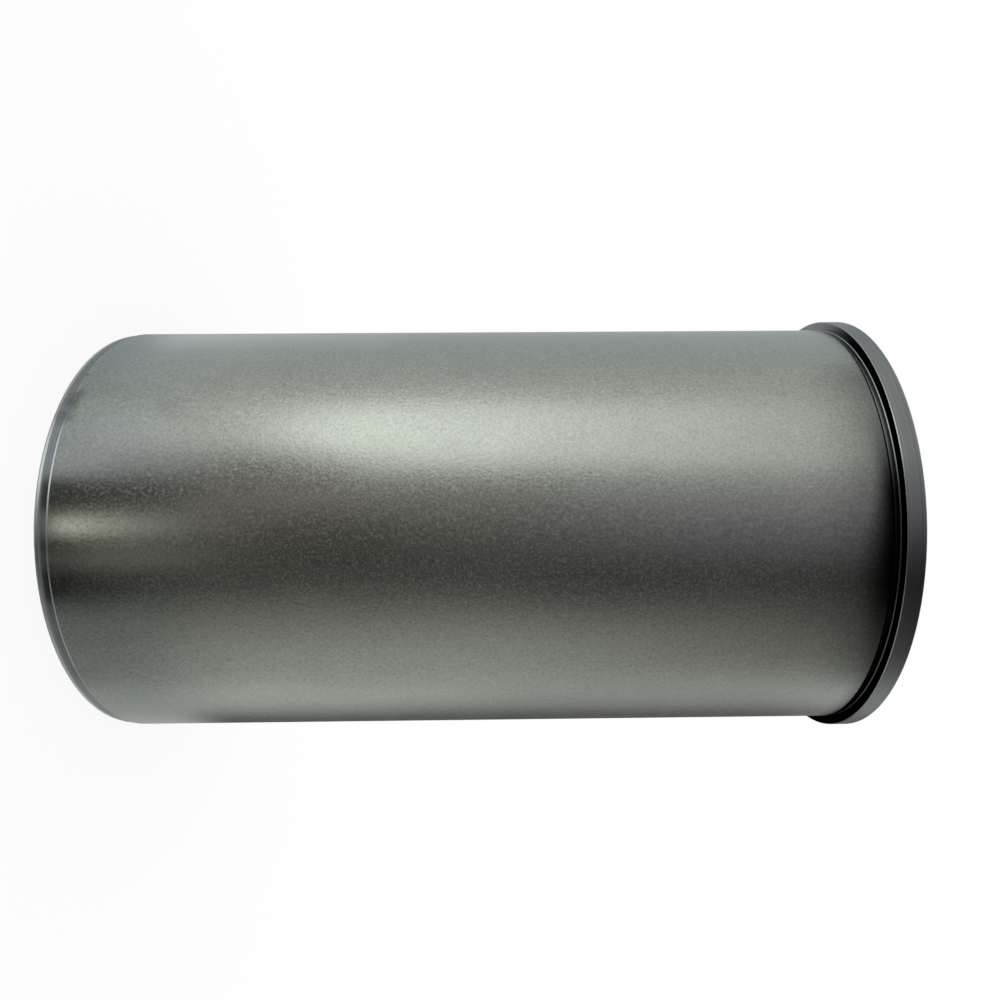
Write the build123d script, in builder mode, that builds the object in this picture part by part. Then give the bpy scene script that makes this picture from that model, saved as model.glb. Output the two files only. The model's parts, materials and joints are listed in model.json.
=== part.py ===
# Dry cylinder liner for a medium diesel engine: one iron tube, turned and ground all over.
# It stands on its plain lower end at z = 0, with the flange at the top and the bore along +Z.
# All sizes are in millimetres and degrees.

import math
import os

from build123d import *

# Tube
bore_diameter = 110.0
wall = 2.0
total_length = 200.0

# Flange, which hangs in the block's counterbore
flange_height = 4.5
flange_overhang = 2.3
flange_edge_break = 0.2

# Grinding relief under the flange
relief_width = 2.0
relief_depth = 0.25
relief_run_out_angle = 25.0  # between the slope at the body's end and the axis
seat_clearance = 0.05  # from the body's radius out to where the seat's flat begins

# Pilot at the lower end, which finds the block's bore
pilot_length = 2.8
pilot_step = 0.35
shoulder_length = 0.6
lead_in_length = 1.0
lead_in_angle = 15.0

# Chamfers at the bore's two mouths
bore_top_chamfer = 0.5
bore_lower_chamfer = 0.4

# Radii of the section
bore_radius = bore_diameter / 2
body_radius = bore_radius + wall
flange_radius = body_radius + flange_overhang
relief_radius = body_radius - relief_depth
relief_corner_radius = relief_depth + seat_clearance
pilot_radius = body_radius - pilot_step

# Heights of the section
seat_height = total_length - flange_height
relief_bottom = seat_height - relief_width
relief_floor_bottom = relief_bottom + relief_depth / math.tan(math.radians(relief_run_out_angle))
shoulder_top = pilot_length + shoulder_length

# The section's flat faces, counted from the lowest
LOWER_END = 0
SEAT = 1
TOP_FACE = 2


def ring_edges(solid, flat):
    """The ring edges of one flat face, from the bore outwards."""
    flat_faces = solid.faces().filter_by(GeomType.PLANE).sort_by(Axis.Z)
    return flat_faces[flat].edges().sort_by(SortBy.RADIUS)


with BuildPart() as liner:
    # Half section: along the lower end, up the outside, then back to the bore along the top face
    with BuildSketch(Plane.XZ):
        with BuildLine():
            Polyline(
                (bore_radius, 0),
                (pilot_radius, 0),
                (pilot_radius, pilot_length),
                (body_radius, shoulder_top),
                (body_radius, relief_bottom),
                (relief_radius, relief_floor_bottom),
                (relief_radius, seat_height),
                (flange_radius, seat_height),
                (flange_radius, total_length),
                (bore_radius, total_length),
                close=True,
            )
        make_face()
    revolve(axis=Axis.Z)

    # Lower end: a long lead-in up the pilot outside, a small chamfer in the bore
    pilot_land = liner.faces().filter_by(GeomType.CYLINDER).sort_by(Axis.Z)[0]
    lower_rim = ring_edges(liner, LOWER_END)[-1]
    chamfer(lower_rim, lead_in_length, angle=lead_in_angle, reference=pilot_land)
    chamfer(ring_edges(liner, LOWER_END)[0], bore_lower_chamfer)

    # Flange: a round corner where the seat meets the relief, broken edges on the rim, a chamfered mouth
    fillet(ring_edges(liner, SEAT)[0], relief_corner_radius)
    chamfer(ring_edges(liner, SEAT)[-1], flange_edge_break)
    chamfer(ring_edges(liner, TOP_FACE)[-1], flange_edge_break)
    chamfer(ring_edges(liner, TOP_FACE)[0], bore_top_chamfer)

os.makedirs("parts", exist_ok=True)
liner.part.label = "cylinder_liner"
export_step(liner.part, "parts/cylinder_liner.step")
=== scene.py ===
"""Finish, studio and camera for the cylinder liner. Lengths are in metres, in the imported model's frame."""
import json
import math
from typing import NamedTuple

import bpy
from mathutils import Matrix, Vector


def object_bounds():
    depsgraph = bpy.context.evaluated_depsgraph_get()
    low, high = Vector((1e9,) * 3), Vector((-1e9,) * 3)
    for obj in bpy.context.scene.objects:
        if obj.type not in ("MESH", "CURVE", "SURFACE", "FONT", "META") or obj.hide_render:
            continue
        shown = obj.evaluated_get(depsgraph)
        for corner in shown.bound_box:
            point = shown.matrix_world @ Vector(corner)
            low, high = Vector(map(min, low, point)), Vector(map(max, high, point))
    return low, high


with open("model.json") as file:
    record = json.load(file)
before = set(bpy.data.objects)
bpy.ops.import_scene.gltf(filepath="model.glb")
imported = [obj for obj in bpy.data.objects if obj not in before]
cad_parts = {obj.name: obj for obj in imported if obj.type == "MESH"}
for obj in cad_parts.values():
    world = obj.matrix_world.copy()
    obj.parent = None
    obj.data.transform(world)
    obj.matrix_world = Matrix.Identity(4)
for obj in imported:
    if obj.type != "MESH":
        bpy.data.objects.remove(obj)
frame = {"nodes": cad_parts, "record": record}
cad_low, cad_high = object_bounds()

# The liner's turned zones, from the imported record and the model's box
MILLIMETRE = 0.001
MOUNTS = {mount["name"]: mount for mount in frame["record"]["mounts"]}
BORE_RADIUS = MOUNTS["bore"]["dims"]["r_mm"] * MILLIMETRE
BODY_RADIUS = MOUNTS["outside_fit"]["dims"]["r_mm"] * MILLIMETRE
BODY_MIDDLE = MOUNTS["outside_fit"]["pos_m"][2]
BODY_HALF = MOUNTS["outside_fit"]["dims"]["length_mm"] * MILLIMETRE / 2
BODY_BOTTOM = BODY_MIDDLE - BODY_HALF
BODY_TOP = BODY_MIDDLE + BODY_HALF
SEAT_HEIGHT = MOUNTS["flange_seat"]["pos_m"][2]
FLANGE_RADIUS, _, FLANGE_TOP = cad_high

# Small forms that the record doesn't give
EDGE_BREAK = 0.0002
CORNER_RADIUS = 0.0003
SHOULDER_LENGTH = 0.0006
LEAD_IN_LENGTH = 0.001
BORE_SKIN = 0.0002  # depth of the wall that counts as the bore
ZONE_EDGE = 0.00004  # width of the soft change from zone to zone

# Camera: it lies on its side, so the liner's axis runs across the picture
CAMERA_PLACE = Vector((0, -0.21702, 0.10964))
CAMERA_LENS = 25.589  # millimetres
CAMERA_SHIFT = (-0.0311, 0.0032)  # shares of the picture
CAMERA_NEAR = 0.001
CAMERA_YAW = -0.01164  # radians, as are the next two
CAMERA_PITCH = 0.02931
CAMERA_ROLL = -0.00887

# Finish
GROUND_IRON = (0.238, 0.256, 0.226, 1)
TURNED_IRON = (0.236, 0.256, 0.251, 1)
MOTTLE_SCALE = 90.0
MOTTLE_CONTRAST = 0.12
SPECKLE_SCALE = 1500.0
SPECKLE_DEPTH = 0.00003
SPECKLE_CONTRAST = 0.45
GRAIN_SCALE = 1800.0
GRAIN_CONTRAST = 0.6
GRAIN_TIPS = (0.62, 0.4)  # middle and width of the rise to rough grains, in the noise's values
RING_SCALE = 1500.0
RING_DEPTH = 0.00001
RING_CONTRAST = 1.4
HONE_SCALE = 600.0
HONE_STRETCH = (1, 1, 0.02)  # slows the noise down along a scratch
HONE_DEPTH = 0.00001
HONE_CONTRAST = 1.5
HONE_TWIST = 31.5  # radians of turn for each metre of height, which lays the scratches at 30 degrees
ROUGHNESS = (0.29, 0.46)  # of the smooth ground and of its roughest grains

# Tone of each zone, as a share of the iron's colour
SHADE_TONES = (0.47, 0.95)  # close to the flange: front and back, then the sides
# Painted shade in the flange's root, on the front of the liner: its darkest tone
ROOT_SHADE_TONE = 0.03
RELIEF_TONES = (0.05, 0.3)  # under the painted shade in the flange's root: floor and corner
SEAT_TONES = (0.8, ROOT_SHADE_TONE)  # bare, and under the painted shade
RIM_TONES = (0.7, 1.0)  # turned, and on its edges where a highlight is painted
PILOT_TONE = 0.8
SHOULDER_TONE = 1.5
LEAD_IN_TONE = 1.0
BORE_TONE = 1.8

# Soft changes round the liner, middle and width, in sines of the angle from the side that faces the camera
SHADE_SIDES = (0.68, 0.18)  # where the shade close to the flange ends, on either side
EDGE_HIGHLIGHT_END = (0.1, 0.8)  # where the painted highlight on the flange's edges ends
SEAT_SHADE_START = (-0.87, 0.3)
ROOT_SHADE_START = (-0.3, 0.42)
ROOT_SHADE_THINNING = (0.42, 0.4)
ROOT_SHADE_BACK = (0.3, 0.5)  # along y, where the painted shade ends on the far side

# Painted shade in the flange's root, and the painted shade close to the flange that reaches further down
ROOT_SHADE_MIDDLE = 0.2  # a sine, as above, and so is the next
ROOT_SHADE_HALF = 0.44
ROOT_SHADE_REACH = (0.009, 0.0045)  # down the body at its middle and elsewhere
ROOT_SHADE_LEFT = 0.18  # share of it where it has thinned out
SHADE_DROP = 0.006  # from the body's top to the middle of the shade's soft end
SHADE_FADE = 0.024

# Ragged edges of the stains
RAGGED_SCALE = 500.0
RAGGED_CONTRAST = 1.2

# Studio
WALL_DISTANCE = 0.15  # level, from the body's surface
WALL_START = 0.001
WALL_TOP = 5 * BODY_RADIUS
WALL_STEPS = (160, 110)  # round the body and up it
END_GLOW_WIDTHS = (-0.00055, 0.0006)  # from the body's radius to the ring's two edges
FLOOR_GAP = 0.0002  # below what lies on the floor
FLOOR_HALF = 20.0
FLOOR_DIFFUSE = 0.15  # share of the floor's white that a shadow can take


class Stain(NamedTuple):
    """A dark spot on the outside."""

    angle: float  # degrees round the body from the side that faces the camera
    height: float
    radius: float
    depth: float  # share of the light that it takes


STAINS = (
    Stain(-27.5, 0.0030, 0.0040, 0.35),
    Stain(-31.5, 0.0032, 0.0035, 0.4),
    Stain(-34, 0.0038, 0.0030, 0.3),
    Stain(-41.3, 0.0032, 0.0007, 0.9),
    Stain(-29, 0.0275, 0.0050, 0.1),
)


class Light(NamedTuple):
    """A softbox, a flag or a gel. It multiplies the wall's level, at the place where the body reflects it."""

    angles: tuple  # degrees round the body from the side that faces the camera
    heights: tuple  # body radii above the lower end
    levels: tuple = (1, 1)  # at the lower and at the upper height
    soft: tuple = (6, 0.4)  # widths of its soft edges, in degrees and in body radii
    tint: tuple = (1, 1, 1)


# Level of the bare wall at angles round the body, in degrees
WALL_LEVELS = (
    (-76, 0.85),
    (-66, 0.72),
    (-46, 1.0),
    (-14, 1.0),
    (-11.5, 0.6),
    (4, 0.2),
    (13, 0.13),
    (30, 0.86),
    (48, 1.08),
    (76, 0.95),
)
# Level of the table close to the lower end
END_LEVELS = (
    (-180, 0.9),
    (-30, 0.9),
    (-20, 2.0),
    (-12, 2.1),
    (-5, 0.9),
    (4, 0.25),
    (12, 0.33),
    (28, 0.9),
    (180, 1.1),
)
# Left and right, upper and lower are those of the picture
LIGHTS = {
    "softbox": Light((-30, -13), (1.02, 5), (2.85, 0.22), soft=(5, 0.3)),
    "softbox_edge_glow": Light((-25, -17.5), (0.95, 1.25), (1.2, 1.2), soft=(3, 0.2)),
    "softbox_edge_flag": Light((-17.5, -11.5), (0.75, 1.2), (0.45, 0.55), soft=(3, 0.2)),
    "softbox_glow": Light((-30, -13), (1.0, 2.0), (1.06, 1.1), soft=(5, 0.5)),
    "softbox_halo": Light((-38, -28), (1.2, 3.0), (1.14, 1.14), soft=(5, 0.4)),
    "window": Light((-31, -12.5), (-0.5, 1.05), (0.75, 1.42), soft=(4, 0.3)),
    "window_glow": Light((-27, -20), (0.2, 0.8), (1.17, 1.17), soft=(5, 0.3)),
    "window_flag": Light((-17, -9), (0.28, 1.2), (0.8, 0.3), soft=(3.5, 0.2)),
    "upper_left_flag": Light((-90, -33), (-1, 0.25), (0.8, 0.8), soft=(4, 0.25)),
    "upper_left_glow": Light((-67.5, -54.5), (0.22, 1.35), (1.3, 1.1), soft=(5, 0.2)),
    "streak": Light((-2, 1.4), (0.1, 0.65), (7.5, 1.2), soft=(2.5, 0.12)),
    "streak_flag_above": Light((-11, -4), (-0.2, 0.6), (0.25, 0.12), soft=(3, 0.25)),
    "streak_flag_below": Light((2.5, 5.5), (-0.2, 0.6), (0.4, 0.8), soft=(2.5, 0.25)),
    "lower_streak": Light((5.5, 9), (0.2, 0.65), (2.7, 2.9), soft=(3, 0.2)),
    "lower_streak_flag": Light((9.5, 17), (-0.2, 0.65), (0.03, 0.8), soft=(3, 0.2)),
    "middle_flag": Light((-3, 9), (0.85, 1.4), (0.55, 0.55), soft=(5, 0.3)),
    "right_glow": Light((-14, 10), (2.1, 3.4), (1.25, 1.6), soft=(5, 0.4)),
    "right_flag": Light((8, 21), (1.95, 2.5), (0.7, 0.75), soft=(5, 0.3)),
    "lower_right_fade": Light((11, 41), (1.8, 4), (1, 0.1), soft=(16, 0.2)),
    "lower_right_flag": Light((48, 90), (1.5, 3.3), (0.79, 0.79), soft=(8, 0.8)),
    "lower_right_glow": Light((54, 90), (3.2, 6), (1.6, 1.6), soft=(8, 0.4)),
    "flange_flag": Light((4, 34), (3.45, 6), (0.13, 0.13), soft=(10, 0.3)),
    "flange_softbox_flag": Light((-31, -11), (3.45, 6), (0.52, 0.52), soft=(5, 0.3)),
    "lower_left_flag": Light((15, 90), (-1, 0.5), (0.75, 0.75), soft=(4, 0.5)),
    "lower_left_shade": Light((25, 41), (-1, 0.55), (0.77, 0.77), soft=(5, 0.6)),
    "lower_glow": Light((42, 51), (0.5, 1.8), (1.16, 1.16), soft=(5, 0.4)),
    "lower_edge_flag": Light((56, 90), (0.42, 6), (0.1, 0.3), soft=(13, 0.25)),
    "upper_left_gel": Light((-58, -12), (-1, 0.45), tint=(0.96, 1, 1.06)),
    "violet_gel": Light((-24, -12), (-1, 0.5), tint=(1.03, 1, 1.07)),
    "upper_edge_gel": Light((-90, -43), (-1, 6), soft=(8, 0.3), tint=(0.945, 1, 1.045)),
    "streak_gel": Light((-12, 14), (-1, 0.4), tint=(1.03, 1, 0.93)),
    "middle_gel": Light((-12, 26), (0.4, 2.1), tint=(1.05, 1, 0.95)),
    "brown_gel": Light((-13, 5), (0.72, 1.22), soft=(6, 0.25), tint=(1.2, 1, 0.98)),
    "right_gel": Light((-9, 13), (2.1, 6), tint=(1.08, 1, 1.13)),
    "lower_right_gel": Light((13, 38), (2.3, 6), tint=(1.045, 1, 0.96)),
    "lower_left_gel": Light((13, 90), (-1, 0.5), tint=(0.965, 1, 1.01)),
}


class Nodes:
    """Short calls that build one node tree."""

    def __init__(self, tree):
        self.tree = tree
        tree.nodes.clear()

    def feed(self, socket, value):
        """Link a socket to another one, or set it to a constant."""
        if isinstance(value, bpy.types.NodeSocket):
            self.tree.links.new(value, socket)
        else:
            socket.default_value = value

    def add(self, kind, inputs=(), **settings):
        """A node with its settings made and its inputs fed."""
        node = self.tree.nodes.new(kind)
        for name, value in settings.items():
            setattr(node, name, value)
        for name, value in dict(inputs).items():
            self.feed(node.inputs[name], value)
        return node

    def math(self, operation, *values, clamp=False):
        node = self.add("ShaderNodeMath", operation=operation, use_clamp=clamp)
        for socket, value in zip(node.inputs, values):
            self.feed(socket, value)
        return node.outputs[0]

    def mix(self, factor, low, high):
        """A number that goes from low to high with the factor."""
        node = self.add("ShaderNodeMix", {0: factor, 2: low, 3: high}, data_type="FLOAT")
        return node.outputs[0]

    def step(self, value, edge, width):
        """0 below the edge and 1 above it, with a soft change of the width."""
        ends = {"Value": value, "From Min": edge - width / 2, "From Max": edge + width / 2}
        return self.add("ShaderNodeMapRange", ends, interpolation_type="SMOOTHSTEP").outputs[0]

    def drop(self, value, edge, width):
        """1 below the edge and 0 above it."""
        return self.math("SUBTRACT", 1.0, self.step(value, edge, width))

    def swing(self, value, size):
        """A factor about 1 that follows a noise value about 0.5."""
        return self.math("MULTIPLY_ADD", value, size, 1 - size / 2)

    def vector(self, x, y, z):
        return self.add("ShaderNodeCombineXYZ", {0: x, 1: y, 2: z}).outputs[0]

    def noise(self, place, scale, detail=2.0, roughness=0.5):
        ends = {"Vector": place, "Scale": scale, "Detail": detail, "Roughness": roughness}
        return self.add("ShaderNodeTexNoise", ends).outputs[0]

    def stained(self, place, ragged, stain):
        """A factor that falls at a stain's middle."""
        angle = math.radians(stain.angle)
        middle = (BODY_RADIUS * math.sin(angle), -BODY_RADIUS * math.cos(angle), stain.height)
        away = self.add("ShaderNodeVectorMath", {0: place, 1: middle}, operation="DISTANCE")
        away = self.math("MULTIPLY", away.outputs["Value"], ragged)
        clear = self.step(away, stain.radius / 2, stain.radius)
        return self.mix(clear, 1 - stain.depth, 1.0)

    def honed(self, place, height, twist):
        """Scratches of one hand, which wind up the bore."""
        turn = self.math("MULTIPLY", height, twist)
        wound = self.add("ShaderNodeVectorRotate", {"Vector": place, "Angle": turn}, rotation_type="Z_AXIS")
        ends = {0: wound.outputs[0], 1: HONE_STRETCH}
        stretched = self.add("ShaderNodeVectorMath", ends, operation="MULTIPLY").outputs[0]
        return self.noise(stretched, HONE_SCALE, detail=4.0, roughness=0.7)


def flange_root_shade(n, side, back, z):
    """Painted shade in the flange's root, and what is left of it on the body."""
    lean = n.math("ABSOLUTE", n.math("SUBTRACT", side, ROOT_SHADE_MIDDLE))
    reach = n.mix(n.step(lean, ROOT_SHADE_HALF / 2, ROOT_SHADE_HALF), *ROOT_SHADE_REACH)
    # 0 at the body's top and 1 where the painted shade's reach ends
    down = n.math("DIVIDE", n.math("SUBTRACT", BODY_TOP, z), reach)
    root_shade = n.math("MULTIPLY", n.drop(down, 0.5, 1.0), n.step(side, *ROOT_SHADE_START))
    root_shade = n.math("MULTIPLY", root_shade, n.drop(back, *ROOT_SHADE_BACK))
    body_root_shade = n.math("MULTIPLY", root_shade, n.mix(n.step(side, *ROOT_SHADE_THINNING), 1.0, ROOT_SHADE_LEFT))
    return root_shade, body_root_shade


def liner_iron():
    """Satin iron: grain outside, turned rings on the flange and the lower end, a cross-hatch in the bore,
    painted shade in the flange's root and a painted highlight on the flange's edges.
    """
    material = bpy.data.materials.new("liner_iron_satin")
    material.use_nodes = True
    n = Nodes(material.node_tree)
    place = n.add("ShaderNodeTexCoord").outputs["Object"]
    x, y, z = n.add("ShaderNodeSeparateXYZ", {0: place}).outputs
    radius = n.math("SQRT", n.math("ADD", n.math("MULTIPLY", x, x), n.math("MULTIPLY", y, y)))
    side = n.math("DIVIDE", x, radius)
    back = n.math("DIVIDE", y, radius)
    root_shade, body_root_shade = flange_root_shade(n, side, back, z)

    # Zones
    bore = n.drop(radius, BORE_RADIUS + BORE_SKIN, ZONE_EDGE)
    pilot = n.drop(z, BODY_BOTTOM, ZONE_EDGE)
    shoulder = n.math("MULTIPLY", pilot, n.step(z, BODY_BOTTOM - SHOULDER_LENGTH, ZONE_EDGE))
    lead_in = n.drop(z, LEAD_IN_LENGTH, ZONE_EDGE)
    near_flange = n.step(z, BODY_TOP - SHADE_DROP, SHADE_FADE)
    relief = n.step(z, BODY_TOP, ZONE_EDGE)
    corner = n.step(z, SEAT_HEIGHT - CORNER_RADIUS, ZONE_EDGE)
    seat = n.step(z, SEAT_HEIGHT - ZONE_EDGE, ZONE_EDGE)
    rim = n.step(z, SEAT_HEIGHT + ZONE_EDGE, ZONE_EDGE)
    lower_break = n.drop(z, SEAT_HEIGHT + EDGE_BREAK, ZONE_EDGE)
    upper_break = n.step(z, FLANGE_TOP - EDGE_BREAK, ZONE_EDGE)
    upper_break = n.math("MULTIPLY", upper_break, n.step(radius, FLANGE_RADIUS - EDGE_BREAK, ZONE_EDGE))
    # Painted highlight on the flange's edge breaks, on one side only
    edge_highlight = n.math("MULTIPLY", n.math("ADD", lower_break, upper_break), n.drop(side, *EDGE_HIGHLIGHT_END))
    turned = n.math("ADD", pilot, relief)
    turned = n.math("ADD", turned, bore, clamp=True)

    # Marks of each zone's finish
    mottle = n.noise(place, MOTTLE_SCALE, detail=3.0, roughness=0.6)
    speckle = n.noise(place, SPECKLE_SCALE, detail=1.0)
    grain = n.noise(place, GRAIN_SCALE, detail=1.0)
    rings = n.noise(n.vector(radius, z, 0.0), RING_SCALE, detail=3.0, roughness=0.6)
    hone = n.mix(0.5, n.honed(place, z, HONE_TWIST), n.honed(place, z, -HONE_TWIST))

    # Tone, from the body to the zones that lie over it
    shade = n.mix(n.step(n.math("ABSOLUTE", side), *SHADE_SIDES), *SHADE_TONES)
    tone = n.mix(near_flange, 1.0, shade)
    # Painted shade in the flange's root, on the body and in the relief
    tone = n.math("MULTIPLY", tone, n.mix(body_root_shade, 1.0, ROOT_SHADE_TONE))
    tone = n.mix(relief, tone, n.mix(root_shade, 1.0, n.mix(corner, *RELIEF_TONES)))
    # Painted shade: the seat is dark all round except for a narrow arc on one side
    tone = n.mix(seat, tone, n.mix(n.step(side, *SEAT_SHADE_START), *SEAT_TONES))
    tone = n.mix(rim, tone, n.mix(edge_highlight, *RIM_TONES))
    tone = n.mix(pilot, tone, PILOT_TONE)
    tone = n.mix(shoulder, tone, SHOULDER_TONE)
    tone = n.mix(lead_in, tone, LEAD_IN_TONE)
    ragged = n.swing(n.noise(place, RAGGED_SCALE), RAGGED_CONTRAST)
    for stain in STAINS:
        tone = n.math("MULTIPLY", tone, n.stained(place, ragged, stain))
    tone = n.mix(bore, tone, BORE_TONE)
    glancing = n.math("MINIMUM", tone, 1.0)

    # Colour, with the marks
    ground = n.math("MULTIPLY", n.swing(grain, GRAIN_CONTRAST), n.swing(speckle, SPECKLE_CONTRAST))
    marks = n.mix(turned, ground, n.swing(rings, RING_CONTRAST))
    marks = n.mix(bore, marks, n.swing(hone, HONE_CONTRAST))
    tone = n.math("MULTIPLY", tone, n.swing(mottle, MOTTLE_CONTRAST))
    tone = n.math("MULTIPLY", tone, marks)
    irons = {0: turned, 6: GROUND_IRON, 7: TURNED_IRON}
    iron = n.add("ShaderNodeMix", irons, data_type="RGBA").outputs[2]
    colour = n.add("ShaderNodeVectorMath", {0: iron, "Scale": tone}, operation="SCALE").outputs[0]

    # Height of the marks, in metres
    ring_height = n.math("MULTIPLY", rings, RING_DEPTH)
    height = n.mix(turned, n.math("MULTIPLY", speckle, SPECKLE_DEPTH), ring_height)
    height = n.mix(bore, height, n.math("MULTIPLY", hone, HONE_DEPTH))
    bump = n.add("ShaderNodeBump", {"Height": height, "Distance": 1.0, "Strength": 1.0})

    grains = n.math("MULTIPLY", n.step(grain, *GRAIN_TIPS), n.math("SUBTRACT", 1.0, turned))
    bsdf = n.add("ShaderNodeBsdfPrincipled", {"Base Color": colour, "Normal": bump.outputs[0]})
    n.feed(bsdf.inputs["Metallic"], 1.0)
    n.feed(bsdf.inputs["Roughness"], n.mix(grains, *ROUGHNESS))
    n.feed(bsdf.inputs["Specular Tint"], glancing)
    n.add("ShaderNodeOutputMaterial", {"Surface": bsdf.outputs[0]})
    return material


def stage_mesh(name, vertices, faces, material):
    """A piece of the studio."""
    mesh = bpy.data.meshes.new(name)
    mesh.from_pydata(vertices, [], faces)
    mesh.materials.append(material)
    piece = bpy.data.objects.new(name, mesh)
    bpy.context.scene.collection.objects.link(piece)
    return piece


def shine_material():
    """Paper that shines by the shade stored at each of its points."""
    material = bpy.data.materials.new("shine")
    material.use_nodes = True
    n = Nodes(material.node_tree)
    shade = n.add("ShaderNodeAttribute", attribute_name="shade").outputs["Color"]
    shine = n.add("ShaderNodeEmission", {"Color": shade})
    n.add("ShaderNodeOutputMaterial", {"Surface": shine.outputs[0]})
    return material


def shining(name, columns, shades, material):
    """A sheet that shines with its own shades, which only the metal sees. Its points come in columns."""
    rows = len(columns[0])
    vertices = [point for column in columns for point in column]
    corners = [rows * i + k for i in range(1, len(columns)) for k in range(1, rows)]
    faces = [(c, c - 1, c - rows - 1, c - rows) for c in corners]
    sheet = stage_mesh(name, vertices, faces, material)
    attribute = sheet.data.color_attributes.new("shade", "FLOAT_COLOR", "POINT")
    for item, shade in zip(attribute.data, shades):
        item.color = (*shade, 1)
    sheet.visible_camera = False
    sheet.visible_diffuse = False
    sheet.visible_shadow = False


def outward(angle):
    """Direction from the axis, at degrees from the side that faces the camera."""
    turn = math.radians(angle)
    return Vector((math.sin(turn), -math.cos(turn), 0))


def seen_in_body(angle, height):
    """Where a sight line that the body reflects meets the floor or the wall."""
    normal = outward(angle)
    point = normal * BODY_RADIUS + Vector((0, 0, height))
    ray = (point - CAMERA_PLACE).reflect(normal)
    reach = WALL_DISTANCE / ray.xy.length
    if ray.z < 0:
        reach = min(reach, (FLOOR_GAP - height) / ray.z)
    return point + ray * reach


def smooth(share):
    """A soft rise from 0 to 1."""
    share = min(max(share, 0), 1)
    return share * share * (3 - 2 * share)


def band(value, ends, soft):
    """1 between the ends and 0 outside them, with soft edges."""
    return smooth((value - ends[0]) / soft + 0.5) - smooth((value - ends[1]) / soft + 0.5)


def level_at(angle, levels):
    """A level between those that are listed."""
    for (low, low_level), (high, high_level) in zip(levels, levels[1:]):
        if angle <= high:
            break
    return low_level + (high_level - low_level) * (angle - low) / (high - low)


def wall_shade(angle, height):
    """Colour of the wall, with all the lights, flags and gels that reach this place."""
    shade = [level_at(angle, WALL_LEVELS)] * 3
    for light in LIGHTS.values():
        mask = band(angle, light.angles, light.soft[0]) * band(height, light.heights, light.soft[1])
        rise = (height - light.heights[0]) / (light.heights[1] - light.heights[0])
        level = light.levels[0] + (light.levels[1] - light.levels[0]) * rise
        shade = [part * (1 + (level * tint - 1) * mask) for part, tint in zip(shade, light.tint)]
    return shade


def spread(low, high, count):
    """Evenly spaced values from low to high."""
    return [low + (high - low) * i / count for i in range(count + 1)]


def tent_wall(material):
    """The light tent's wall and table."""
    angles = spread(WALL_LEVELS[0][0], WALL_LEVELS[-1][0], WALL_STEPS[0])
    heights = spread(WALL_START, WALL_TOP, WALL_STEPS[1])
    columns = [[seen_in_body(angle, height) for height in heights] for angle in angles]
    shades = [wall_shade(angle, height / BODY_RADIUS) for angle in angles for height in heights]
    shining("tent_wall", columns, shades, material)


def end_glow(material):
    """Pale ring of the table round the lower end, which the lead-in and the shoulder show."""
    lift = Vector((0, 0, FLOOR_GAP))
    radii = [BODY_RADIUS + width for width in END_GLOW_WIDTHS]
    angles = spread(-180, 180, WALL_STEPS[0])
    columns = [[outward(angle) * radius + lift for radius in radii] for angle in angles]
    shades = [[level_at(angle, END_LEVELS)] * 3 for angle in angles for _ in radii]
    shining("end_glow", columns, shades, material)


def floor():
    """White floor that keeps a pale shadow."""
    material = bpy.data.materials.new("floor")
    material.use_nodes = True
    n = Nodes(material.node_tree)
    path = n.add("ShaderNodeLightPath").outputs
    seen = n.math("ADD", path["Is Camera Ray"], path["Is Glossy Ray"])
    seen = n.math("ADD", seen, path["Is Transmission Ray"], clamp=True)
    paper = n.add("ShaderNodeBsdfDiffuse", {"Color": (FLOOR_DIFFUSE,) * 3 + (1,)})
    glow = n.add("ShaderNodeEmission", {"Strength": n.math("MULTIPLY", seen, 1 - FLOOR_DIFFUSE)})
    both = n.add("ShaderNodeAddShader", {0: paper.outputs[0], 1: glow.outputs[0]})
    n.add("ShaderNodeOutputMaterial", {"Surface": both.outputs[0]})
    ends = (-FLOOR_HALF, FLOOR_HALF)
    corners = [(x, y, 0) for y in ends for x in ends]
    stage_mesh("floor", corners, [(0, 1, 3, 2)], material)


def tent():
    """White light from all sides."""
    world = bpy.data.worlds.new("tent")
    world.use_nodes = True
    n = Nodes(world.node_tree)
    sky = n.add("ShaderNodeBackground", {"Color": (1, 1, 1, 1), "Strength": 1.0})
    n.add("ShaderNodeOutputWorld", {"Surface": sky.outputs[0]})
    bpy.context.scene.world = world


def camera():
    """The camera, at the photograph's viewing angle."""
    data = bpy.data.cameras.new("camera")
    data.lens = CAMERA_LENS
    data.shift_x, data.shift_y = CAMERA_SHIFT
    data.clip_start = CAMERA_NEAR
    lens = bpy.data.objects.new("camera", data)
    bpy.context.scene.collection.objects.link(lens)
    on_side = Matrix(((0, -1, 0), (0, 0, -1), (1, 0, 0)))
    yaw = Matrix.Rotation(CAMERA_YAW, 3, "Y")
    pitch = Matrix.Rotation(CAMERA_PITCH, 3, "X")
    roll = Matrix.Rotation(CAMERA_ROLL, 3, "Z")
    lens.matrix_world = Matrix.Translation(CAMERA_PLACE) @ (on_side @ yaw @ pitch @ roll).to_4x4()
    bpy.context.scene.camera = lens


liner = frame["nodes"]["cylinder_liner"]
liner.material_slots[0].link = "OBJECT"
liner.material_slots[0].material = liner_iron()
tent()
floor()
shine = shine_material()
tent_wall(shine)
end_glow(shine)
camera()
bpy.context.scene.view_settings.view_transform = "Standard"
